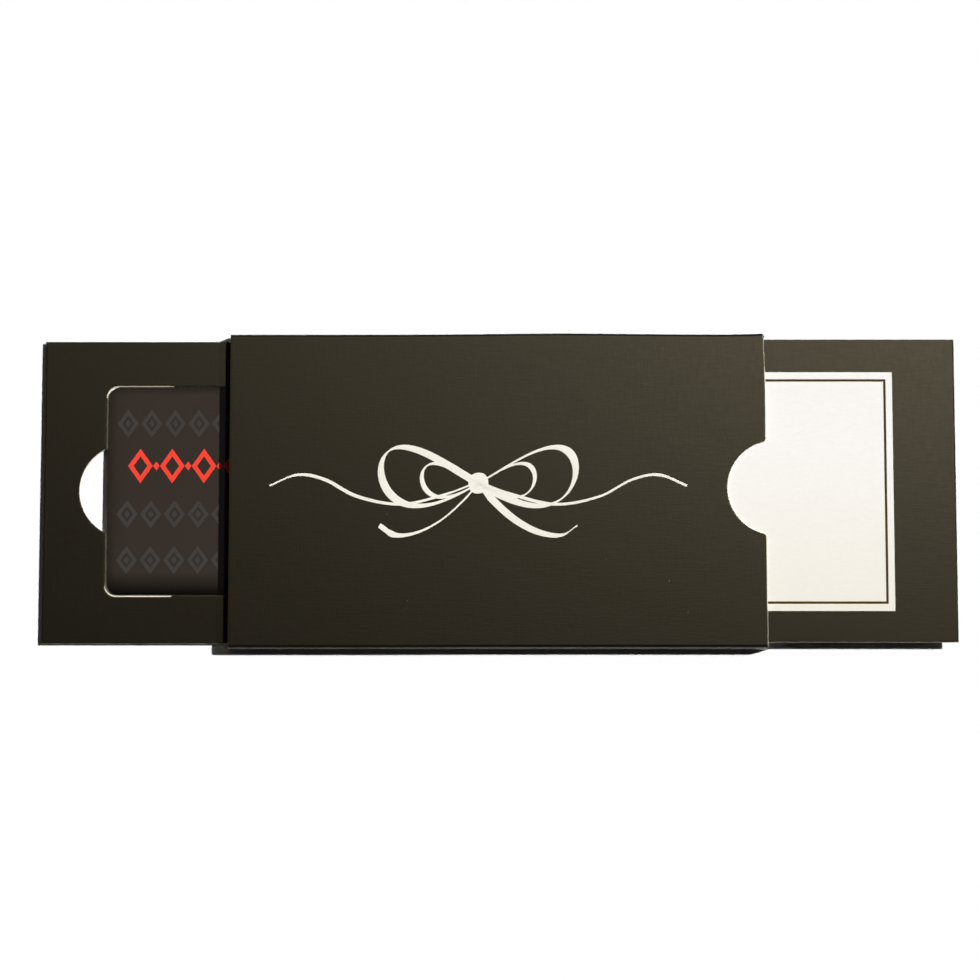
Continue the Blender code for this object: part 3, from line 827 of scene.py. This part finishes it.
def add_card_slider_blank():
    """The card slider's blank: a ring of sheet round the window, the fold, and a ring.

    The second ring is round the thumb hole of the lower panel. On the flat, u is the
    distance outwards from the middle of the holder, so the window's outer edge is at
    the slider's end less its margin.
    """
    place, stops = blank_place(CARD_BLANK_LOW, CARD_BLANK_HIGH, -1)
    inner, bend, lower_start, lower_end = stops
    half = CARD_BLANK_HIGH[1]
    edge_u = -CARD_BLANK_LOW[0] - END_MARGIN
    radius, past = circle_of_notch(CARD_NOTCH_WIDTH, CARD_NOTCH_DEPTH)
    spread = math.degrees(math.atan2(CARD_NOTCH_WIDTH / 2, past))
    notch = (edge_u - past, CARD_NOTCH_ASIDE)
    notch_near = CARD_NOTCH_ASIDE - CARD_NOTCH_WIDTH / 2
    notch_far = CARD_NOTCH_ASIDE + CARD_NOTCH_WIDTH / 2
    corner = WINDOW_CORNER_RADIUS
    back_u = edge_u - WINDOW_LENGTH
    step_u = edge_u - LOOSE_WINDOW_LENGTH
    far_corner = (edge_u - corner, WINDOW_FAR - corner)
    near_corner = (edge_u - corner, WINDOW_NEAR + corner)
    outer_side = chained([
        arc_points(far_corner, corner, 45, 0, 6),
        line_points((edge_u, WINDOW_FAR - corner), (edge_u, notch_far), 12),
        arc_points(notch, radius, spread, -spread, 28),
        line_points((edge_u, notch_near), (edge_u, WINDOW_NEAR + corner), 12),
        arc_points(near_corner, corner, 0, -45, 6)])
    near_side = chained([
        arc_points(near_corner, corner, -45, -90, 5),
        line_points((edge_u - corner, WINDOW_NEAR), (step_u, WINDOW_NEAR), 8),
        line_points((step_u, WINDOW_NEAR), (step_u, GRIP_NEAR), 2),
        line_points((step_u, GRIP_NEAR), (back_u + corner, GRIP_NEAR), 40),
        arc_points((back_u + corner, GRIP_NEAR + corner), corner, -90, -135, 5)])
    inner_side = chained([
        arc_points((back_u + corner, GRIP_NEAR + corner), corner, -135, -180, 5),
        line_points((back_u, GRIP_NEAR + corner), (back_u, GRIP_FAR - corner), 20),
        arc_points((back_u + corner, GRIP_FAR - corner), corner, 180, 135, 5)])
    far_side = chained([
        arc_points((back_u + corner, GRIP_FAR - corner), corner, 135, 90, 5),
        line_points((back_u + corner, GRIP_FAR), (step_u, GRIP_FAR), 40),
        line_points((step_u, GRIP_FAR), (step_u, WINDOW_FAR), 2),
        line_points((step_u, WINDOW_FAR), (edge_u - corner, WINDOW_FAR), 8),
        arc_points(far_corner, corner, 90, 45, 5)])
    box = box_sides(inner, bend, half)
    upper = ring_sheet([outer_side, near_side, inner_side, far_side], box, RING_SHARES)
    fold = grid_sheet(np.linspace(bend, lower_start, FOLD_STEPS + 1), box[0][:, 1])
    mirror = lower_start + bend
    block = edge_u - CARD_NOTCH_REACH
    hole = [
        arc_points(notch, radius, spread, -spread, OUTER_STEPS),
        line_points((edge_u, notch_near), (block, notch_near), LONG_STEPS),
        line_points((block, notch_near), (block, notch_far), INNER_STEPS),
        line_points((block, notch_far), (edge_u, notch_far), LONG_STEPS)]
    lower_hole, lower_box = (
        [np.column_stack([mirror - side[:, 0], side[:, 1]]) for side in sides]
        for sides in (hole, box))
    lower = ring_sheet(lower_hole, lower_box, RING_SHARES)
    flat, faces = joined([upper, fold, lower])
    at_end = np.isclose(flat[:, 0], edge_u)
    at_grip = np.isclose(flat[:, 1], GRIP_NEAR) | np.isclose(flat[:, 1], GRIP_FAR)
    past_corner = rising(flat[:, 1], WINDOW_FAR - corner / 2, WINDOW_FAR)
    at_far = np.where(flat[:, 1] < WINDOW_FAR + 0.1, past_corner, 0)
    cut = CUT_LEAN + (WINDOW_FAR_LEAN - CUT_LEAN) * at_far
    cut = np.where(np.isclose(np.abs(flat[:, 1]), half), SLIDER_SIDE_LEAN, cut)
    lean = np.where(at_end, WINDOW_END_LEAN, np.where(at_grip, GRIP_LEAN, cut))
    rubbed = np.where(at_end | at_grip, WINDOW_RUBBED, CARD_SLIDER_RUBBED)
    piece = board(
        "card_slider_board", flat, faces, place, "card_slider", [MATT_PRINT], lean,
        fold_wear(flat[:, 0], stops), rubbed)
    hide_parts("card_slider_blank")


def add_message_slider_blank():
    """The message slider's blank: one grid whose lines run along the printed panel.

    Faces inside the panel stay unprinted, apart from the frame line inset from it.
    """
    place, stops = blank_place(MESSAGE_LOW, MESSAGE_HIGH, 1)
    inner, bend, lower_start, lower_end = stops
    half = MESSAGE_HIGH[1]
    panel_outer = MESSAGE_HIGH[0] - END_MARGIN
    panel_inner = panel_outer - WINDOW_LENGTH
    inset, width = BORDER_INSET, BORDER_WIDTH
    end_inset = BORDER_END_INSET
    first_row, second_row = SLIDER_SIDE_ROWS
    lines_u = [
        inner, inner + SLIDER_EDGE_ROW, panel_inner, panel_inner + end_inset,
        panel_inner + end_inset + width, panel_outer - end_inset - width,
        panel_outer - end_inset, panel_outer, bend - SLIDER_FOLD_ROW, bend]
    lines_y = [
        -half, first_row - half, second_row - half, PANEL_NEAR, PANEL_NEAR + inset,
        PANEL_NEAR + inset + width, PANEL_FAR - inset - width, PANEL_FAR - inset, PANEL_FAR,
        half - second_row, half - first_row, half]
    lower_lines = [
        lower_start, lower_start + SLIDER_FOLD_ROW, lower_end - SLIDER_EDGE_ROW, lower_end]
    fold_u = np.linspace(bend, lower_start, FOLD_STEPS + 1)
    lower_u = spaced(lower_lines, SLIDER_UNDERSIDE_STEP)
    u = np.concatenate([spaced(lines_u, SLIDER_STEP), fold_u[1:], lower_u[1:]])
    flat, faces = grid_sheet(u, spaced(lines_y, SLIDER_STEP))
    centre = flat[faces].mean(axis=1)

    def inside(end_margin, margin):
        return (
            (centre[:, 0] > panel_inner + end_margin) & (centre[:, 0] < panel_outer - end_margin)
            & (centre[:, 1] > PANEL_NEAR + margin) & (centre[:, 1] < PANEL_FAR - margin))

    inks = np.where(inside(0, 0), 1, 0)
    line = inside(end_inset, inset) & ~inside(end_inset + width, inset + width)
    inks = np.where(line, 2, inks)
    piece = board(
        "message_slider_board", flat, faces, place, "message_slider",
        [MATT_PRINT, WRITING_PANEL, BORDER_INK], MESSAGE_LEAN, fold_wear(flat[:, 0], stops),
        inks=inks)
    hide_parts("message_slider_blank")


def plate_points(outline, normal, centre, bottom, top, bevel, rings):
    """Return the closed grid of a flat plate with rounded edges.

    Each row follows the section from the middle of the bottom out to the edge, up
    round it and back to the middle of the top, drawn in from the outline.
    """
    turn = np.radians(np.linspace(-90, 90, 9))
    inset = bevel * (1 - np.cos(turn))
    height = np.where(turn < 0, bottom + bevel, top - bevel) + bevel * np.sin(turn)
    inner = np.linspace(0, 1, rings, endpoint=False)
    edge = outline[:, None, :] - normal[:, None, :] * inset[None, :, None]
    low = centre + (edge[:, :1, :] - centre) * inner[None, :, None]
    high = centre + (edge[:, -1:, :] - centre) * inner[None, ::-1, None]
    plan = np.concatenate([low, edge, high], axis=1)
    z = np.concatenate([np.full(rings, bottom), height, np.full(rings, top)])
    z = np.broadcast_to(z[None, :, None], plan.shape[:2] + (1,))
    return np.concatenate([plan, z], axis=2)


def rounded_rectangle(low, high, radius, corner_steps, side_steps):
    """Return the outline of a rounded rectangle and its outward directions."""
    corners = [
        ((high[0] - radius, high[1] - radius), 0), ((low[0] + radius, high[1] - radius), 90),
        ((low[0] + radius, low[1] + radius), 180), ((high[0] - radius, low[1] + radius), 270)]
    points, angles = [], []
    for place, (centre, start) in enumerate(corners):
        arc = arc_points(centre, radius, start, start + 90, corner_steps)
        following, next_start = corners[(place + 1) % 4]
        landing = arc_points(following, radius, next_start, next_start + 90, 1)[0]
        side = line_points(arc[-1], landing, side_steps)[1:-1]
        points += [arc, side]
        angles += [np.linspace(start, start + 90, corner_steps + 1)]
        angles += [np.full(len(side), start + 90.0)]
    angle = np.radians(np.concatenate(angles))
    return np.vstack(points), np.column_stack([np.cos(angle), np.sin(angle)])


def add_card():
    """The plastic card: a rounded plate whose edge turns over by a small radius."""
    outline, normal = rounded_rectangle(CARD_LOW[:2], CARD_HIGH[:2], CARD_CORNER_RADIUS, 12, 14)
    centre = (CARD_LOW[:2] + CARD_HIGH[:2]) / 2
    edge_radius, rings = 0.09, 8
    grid = plate_points(
        outline, normal, centre, CARD_LOW[2], CARD_HIGH[2] - INK_THICKNESS, edge_radius, rings)
    rows, columns = grid.shape[:2]
    # The milled side is the middle four of the eight faces round the edge
    round_edge = np.arange(columns - 1) - rings
    side = np.tile((round_edge > 1) & (round_edge < 6), rows)
    piece = mesh_piece(
        "card_plate", grid.reshape(-1, 3), cells(rows, columns, closed_rows=True),
        "card_slider", [CARD_FACE, CARD_EDGE], side, crease=50, weld=True)
    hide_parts("gift_card")


def lozenges(centres, half_width, half_height, stroke):
    """Return the points and faces of flat lozenges of ink, hollow where a stroke is given.

    Each is a ring of four corners whose section is a flat strip. The inner corners are
    the outer ones drawn in by the stroke over the distance from the middle to a side.
    """
    to_side = 1 / math.sqrt(1 / half_width ** 2 + 1 / half_height ** 2)
    inner = 1 - stroke / to_side if stroke else 0.0
    corner = np.array([(half_width, 0), (0, half_height), (-half_width, 0), (0, -half_height)])
    scale = np.array([inner, 1, 1, inner])
    plan = corner[:, None, :] * scale[None, :, None]
    top = CARD_HIGH[2]
    level = np.array([top - 2 * INK_THICKNESS] * 2 + [top] * 2)
    level = np.broadcast_to(level[None, :, None], (4, 4, 1))
    mark = np.concatenate([plan, level], axis=2).reshape(-1, 3)
    shift = np.column_stack([centres, np.zeros(len(centres))])
    points = (mark[None, :, :] + shift[:, None, :]).reshape(-1, 3)
    one = cells(4, 4, closed_rows=True, closed_columns=bool(stroke))
    start = np.arange(len(centres)) * len(mark)
    return points, (one[None, :, :] + start[:, None, None]).reshape(-1, 4)


def stacked(parts):
    """Put several meshes' points and faces into one."""
    starts = np.cumsum([0] + [len(points) for points, faces in parts[:-1]])
    points = np.vstack([points for points, faces in parts])
    return points, np.vstack([faces + start for start, (some, faces) in zip(starts, parts)])


def row_of(first, last, pitch, y):
    """Return the middles of a row of marks."""
    x = np.arange(first, last, pitch)
    return np.column_stack([x, np.full(len(x), y)])


# The card's print: each colour's rows, where they start and end from the card's ends, the
# pitch, and a mark's half width, half height and stroke
PRINT_MARGIN = 5.0
GREY_ROWS = (17.75, -5.85, -17.75)
GREY_START = 5.1
GREY_PITCH = 6.1
GREY_MARK = (2.75, 3.65, 0.95)
GREY_DOT = (0.75, 1.05, 0)
RED_ROW = 6.7
RED_START = 8.4
RED_PITCH = 8.2
RED_MARK = (3.2, 4.5, 1.15)
RED_DOT = (0.85, 1.2, 0)


def add_card_print():
    """Rows of plain lozenges printed on the card: three of grey on dark, one of red."""
    last = CARD_HIGH[0] - PRINT_MARGIN
    grey = []
    for y in GREY_ROWS:
        middles = row_of(CARD_LOW[0] + GREY_START, last, GREY_PITCH, y)
        grey += [lozenges(middles, *GREY_MARK), lozenges(middles, *GREY_DOT)]
    first = CARD_LOW[0] + RED_START
    red = [
        lozenges(row_of(first, last, RED_PITCH, RED_ROW), *RED_MARK),
        lozenges(row_of(first + RED_PITCH / 2, last, RED_PITCH, RED_ROW), *RED_DOT)]
    for name, marks, ink in (
            ("card_print_grey", grey, GREY_INK), ("card_print_red", red, RED_INK)):
        points, faces = stacked(marks)
        mesh_piece(name, points, faces, "card_slider", [ink], weld=True)


def smooth_path(knots, per_span, closed=False):
    """Return points on the smooth curve through the knots.

    Between two knots it is the cubic whose slope at each knot is half the step from
    the knot before to the knot after.
    """
    knots = np.array(knots, dtype=float)
    if closed:
        before, after = np.roll(knots, 1, axis=0), np.roll(knots, -1, axis=0)
    else:
        before = np.vstack([2 * knots[0] - knots[1], knots[:-1]])
        after = np.vstack([knots[1:], 2 * knots[-1] - knots[-2]])
    slope = (after - before) / 2
    ends = np.roll(knots, -1, axis=0)
    end_slope = np.roll(slope, -1, axis=0)
    if not closed:
        knots, slope, ends, end_slope = knots[:-1], slope[:-1], ends[:-1], end_slope[:-1]
    t = np.linspace(0, 1, per_span, endpoint=False)[None, :, None]
    points = (2 * t ** 3 - 3 * t ** 2 + 1) * knots[:, None]
    points = points + (t ** 3 - 2 * t ** 2 + t) * slope[:, None]
    points = points + (3 * t ** 2 - 2 * t ** 3) * ends[:, None]
    points = (points + (t ** 3 - t ** 2) * end_slope[:, None]).reshape(-1, 2)
    return points if closed else np.vstack([points, ends[-1:]])


# The ornament's middle, the pen's angle in degrees, and the power of its sine
ORNAMENT_CENTRE = np.array([-5.3, 1.6])
PEN_ANGLE = 38
PEN_TURN_POWER = 1.6

# An open end narrows over this share of its stroke: the width is multiplied by the way
# from the end over the share, never less than the least, to the power
END_SHARE = 0.16
END_LEAST = 0.65
END_POWER = 0.75

# A pen stroke's section: shares of its width across, and of the ink's thickness up
STROKE_ACROSS = np.array([-0.5, -0.5, -0.44, -0.22, 0, 0.22, 0.44, 0.5, 0.5])
STROKE_RISE = np.array([-1.0, 0.5, 0.8, 0.95, 1.0, 0.95, 0.8, 0.5, -1.0])


def pen_stroke(points, thin, thick, closed=False):
    """Return an ink stroke along a path, as a broad pen held at a fixed angle draws it.

    The width is thin plus the rest times a power of the sine of the angle between the
    path and the pen, and the section is a flat strip with a rounded top. Open ends
    narrow and stop blunt.
    """
    if closed:
        run = np.roll(points, -1, axis=0) - np.roll(points, 1, axis=0)
    else:
        run = np.gradient(points, axis=0)
    run /= np.linalg.norm(run, axis=1)[:, None]
    side = np.column_stack([-run[:, 1], run[:, 0]])
    turn = np.arctan2(run[:, 1], run[:, 0]) - math.radians(PEN_ANGLE)
    width = thin + (thick - thin) * np.abs(np.sin(turn)) ** PEN_TURN_POWER
    if not closed:
        share = np.linspace(0, 1, len(points))
        narrowed = np.clip(np.minimum(share, 1 - share) / END_SHARE, END_LEAST, 1)
        width = width * narrowed ** END_POWER
    out = width[:, None] * STROKE_ACROSS[None, :]
    plan = points[:, None, :] + side[:, None, :] * out[:, :, None]
    top = SLEEVE_HIGH[2] - SLEEVE_PRINT_DROP - front_sag(plan[:, :, 0], plan[:, :, 1])
    height = top + INK_THICKNESS * STROKE_RISE[None, :]
    grid = np.concatenate([plan, height[:, :, None]], axis=2)
    faces = cells(len(points), len(STROKE_ACROSS), closed_rows=closed, closed_columns=True)
    return grid.reshape(-1, 3), faces


def bow_loop(half_width, half_height, lift, count):
    """Return the closed double loop of a tied bow: a figure of eight with raised ends.

    x is the half width times the sine of the angle, y the half height times the sine
    of twice the angle, plus a lift that grows with x squared.
    """
    angle = np.linspace(0, 2 * math.pi, count, endpoint=False)
    x = half_width * np.sin(angle)
    y = half_height * np.sin(2 * angle) + lift * (x / half_width) ** 2
    return np.column_stack([x, y])


# Each loop of the bow, and the pen's thin and thick widths there
BOW_LOOPS = (((25.0, 7.4, 3.6, 180), (0.42, 2.1)), ((14.5, 4.3, 1.6, 120), (0.36, 1.3)))

# The left flourish, the left tail and the knot, as points from the knot's middle
FLOURISH = [
    (0, 0.4), (-9, -3.0), (-20, -5.4), (-31, -3.4), (-39.5, 1.0), (-46.5, 2.2), (-53.6, -0.6)]
FLOURISH_PEN = (0.55, 0.95)
TAIL = [(0, 0), (-4.0, -4.6), (-9.4, -9.4), (-15.4, -12.6), (-21.2, -13.4), (-25.4, -10.9)]
TAIL_PEN = (0.42, 1.9)
KNOT = np.array([(-2.1, 0.3), (-1.2, 2.2), (1.2, 2.3), (2.1, 0.3), (1.3, -1.9), (-1.3, -2.0)])
KNOT_SIZE = 0.62
KNOT_PEN = (2.4, 2.6)


def add_ornament():
    """A tied bow drawn in pen strokes, with a long flourish out to each side."""
    strokes = [
        pen_stroke(bow_loop(*loop) + ORNAMENT_CENTRE, *pen, closed=True)
        for loop, pen in BOW_LOOPS]
    for side in (-1, 1):
        for left, per_span, pen in ((FLOURISH, 24, FLOURISH_PEN), (TAIL, 20, TAIL_PEN)):
            turned = [(side * -x, y) for x, y in left]
            strokes.append(pen_stroke(smooth_path(turned, per_span) + ORNAMENT_CENTRE, *pen))
    knot = smooth_path(KNOT * KNOT_SIZE, 8, closed=True)
    strokes.append(pen_stroke(knot + ORNAMENT_CENTRE, *KNOT_PEN, closed=True))
    points, faces = stacked(strokes)
    mesh_piece(
        "sleeve_ornament", points, faces, "sleeve_body", [CREAM_INK], weld=True,
        crease=60)


def dress_hidden_nodes():
    """Give the inner boards, tapes, glue and film their own finishes."""
    finishes = {
        "divider": UNPRINTED_BOARD, "drive_band": FILM, "card_slider_pad": FOAM,
        "message_slider_pad": FOAM}
    for name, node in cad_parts.items():
        material = finishes.get(name, GLUE if "glue" in name else None)
        if material is not None:
            node.data.materials.clear()
            node.data.materials.append(material)


# The camera, from the corners of the sleeve and sliders in the picture: its angles are in
# degrees and its places and lens in millimetres
CAMERA_TILT = 8.17
CAMERA_TURN = -0.69
CAMERA_DISTANCE = 974.2
CAMERA_ASIDE = -2.30
CAMERA_UP = 0.73
CAMERA_LENS = 138.6


def add_camera():
    """The camera looks almost straight down, tilted a little from the near side."""
    tilt = math.radians(CAMERA_TILT)
    turn = math.radians(CAMERA_TURN)
    back = Vector((
        math.sin(turn) * math.sin(tilt), -math.cos(turn) * math.sin(tilt), math.cos(tilt)))
    right = Vector((0, 1, 0)).cross(back).normalized()
    up = back.cross(right)
    camera = bpy.data.objects.new("camera", bpy.data.cameras.new("camera"))
    camera.matrix_world = Matrix.Translation(
        (back * CAMERA_DISTANCE + right * CAMERA_ASIDE + up * CAMERA_UP) * MM
    ) @ Matrix((right, up, back)).transposed().to_4x4()
    camera.data.lens = CAMERA_LENS
    camera.data.sensor_width = 36.0
    camera.data.clip_start = 0.01
    camera.data.clip_end = 20.0
    bpy.context.scene.collection.objects.link(camera)
    bpy.context.scene.camera = camera


# The light: the way to the key, from the shadows beside the sleeve, its strength and its
# angle in degrees, then the sheen lamp's place, power in watts and size in millimetres,
# and the room's strength at its far wall
TOWARDS_KEY = (0.749, 0.24, 1.0)
KEY_STRENGTH = 3.95
KEY_ANGLE = 2.6
SHEEN_PLACE = (241, 243, 883)
SHEEN_POWER = 10.8
SHEEN_SIZE = 60
FAR_WALL_FILL = 0.092


def add_lights():
    """A key lamp far to the right, and a small lamp that only shows as sheen."""
    key = bpy.data.objects.new("key", bpy.data.lights.new("key", "SUN"))
    key.data.energy = KEY_STRENGTH
    key.data.angle = math.radians(KEY_ANGLE)
    key.rotation_mode = "QUATERNION"
    key.rotation_quaternion = Vector(TOWARDS_KEY).to_track_quat("Z", "Y")
    sheen = bpy.data.objects.new("sheen", bpy.data.lights.new("sheen", "AREA"))
    sheen.data.shape = "DISK"
    sheen.data.size = SHEEN_SIZE * MM
    sheen.data.energy = SHEEN_POWER
    sheen.location = Vector(SHEEN_PLACE) * MM
    sheen.rotation_mode = "QUATERNION"
    sheen.rotation_quaternion = Vector(SHEEN_PLACE).to_track_quat("Z", "Y")
    key.visible_glossy = False
    sheen.visible_diffuse = False
    sheen.visible_camera = False
    for lamp in (key, sheen):
        bpy.context.scene.collection.objects.link(lamp)


def add_world():
    """A dim room for light, brighter towards the far wall, seen as white by the camera.

    Reflections and clear things see it as a studio does: white walls at the horizon
    and a dark ceiling.
    """
    world = bpy.data.worlds.new("studio")
    bpy.context.scene.world = world
    world.use_nodes = True
    tree = world.node_tree
    tree.nodes.clear()
    path = add(tree, "ShaderNodeLightPath")
    place = add(tree, "ShaderNodeTexCoord").outputs["Generated"]
    axes = add(tree, "ShaderNodeSeparateXYZ", {"Vector": place})
    studio = add(
        tree, "ShaderNodeMapRange",
        {"Value": axes.outputs["Z"], "From Min": 0.10, "From Max": 0.75, "To Min": 1.0,
         "To Max": 0.06})
    seen = add(
        tree, "ShaderNodeMath",
        {0: path.outputs["Is Glossy Ray"], 1: path.outputs["Is Transmission Ray"]},
        operation="MAXIMUM").outputs["Value"]
    fill = add(
        tree, "ShaderNodeMapRange",
        {"Value": axes.outputs["Y"], "From Min": -0.4, "From Max": 1.0, "To Max": FAR_WALL_FILL})
    lit = add(
        tree, "ShaderNodeMix",
        {0: seen, 2: fill.outputs["Result"], 3: studio.outputs["Result"]}, data_type="FLOAT")
    shown = add(
        tree, "ShaderNodeMix",
        {0: path.outputs["Is Camera Ray"], 2: lit.outputs[0], 3: 1.0}, data_type="FLOAT")
    sky = add(
        tree, "ShaderNodeBackground",
        {"Color": (1.0, 1.0, 1.0, 1.0), "Strength": shown.outputs[0]})
    add(tree, "ShaderNodeOutputWorld", {"Surface": sky.outputs["Background"]})


# Half the table's length, and how far it lies under the holder so that the two don't meet
TABLE_HALF = 3500.0
TABLE_DROP = 0.02


def add_floor():
    """A pale table, large enough to fill a low view."""
    line = np.linspace(-TABLE_HALF, TABLE_HALF, 15)
    flat, faces = grid_sheet(line, line)
    mesh = bpy.data.meshes.new("table")
    points = np.column_stack([flat, np.full(len(flat), -TABLE_DROP)]) * MM
    mesh.from_pydata(points.tolist(), [], faces.tolist())
    material, tree, shader = new_material(
        "white_painted_table", Specular_IOR_Level=0.0, Roughness=1.0)
    cloud = stretched_noise(tree, (60.0, 60.0, 60.0), 2.0)
    shade = toned(tree, cloud, 0.0, 1.0, srgb("#ffffff"), srgb("#fefefe"))
    finish(tree, shader, shade, cloud, (0.95, 1.0), strength=0.0, depth=0.01)
    mesh.materials.append(material)
    table = bpy.data.objects.new("table", mesh)
    bpy.context.scene.collection.objects.link(table)


add_sleeve()
add_card_slider_blank()
add_message_slider_blank()
add_card()
add_card_print()
add_ornament()
dress_hidden_nodes()
add_floor()
add_lights()
add_world()
add_camera()
bpy.context.scene.view_settings.view_transform = "Standard"
